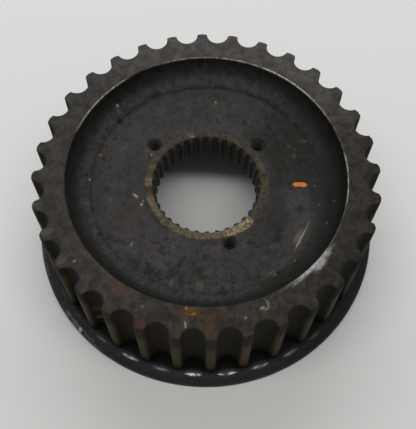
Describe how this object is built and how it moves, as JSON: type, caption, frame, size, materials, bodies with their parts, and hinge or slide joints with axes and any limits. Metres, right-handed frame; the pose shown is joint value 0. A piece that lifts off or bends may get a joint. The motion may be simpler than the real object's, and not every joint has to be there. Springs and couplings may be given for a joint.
{
  "type": "timing belt pulley",
  "caption": "Round toothed belt pulley with a deep front recess, a splined hub, tapped lock screw holes and one pressed guide flange at the back.",
  "frame": {"origin": "on the axle, in the plane that the flange's skirt rests on, with the front face up", "axes": "+Z along the axle from the flange towards the front face; +X through the middle of one belt groove"},
  "size_m": [0.1492, 0.1492, 0.0497],
  "materials": {
    "rim_steel": "dark oxide with brown staining, belt-polished tooth lands, light rust",
    "hub_steel": "dark oxide, oily, pitted, with a worn golden ring round the splined bore",
    "weld_metal": "dark weld scale with fine ripples",
    "flange_steel": "black oxide, semi-gloss, rubbed bright beside the belt grooves"
  },
  "bodies": {
    "root": {"toothed_rim": "rim_steel", "splined_hub": "hub_steel", "hub_weld": "weld_metal", "rear_flange": "flange_steel"}
  },
  "joints": []
}
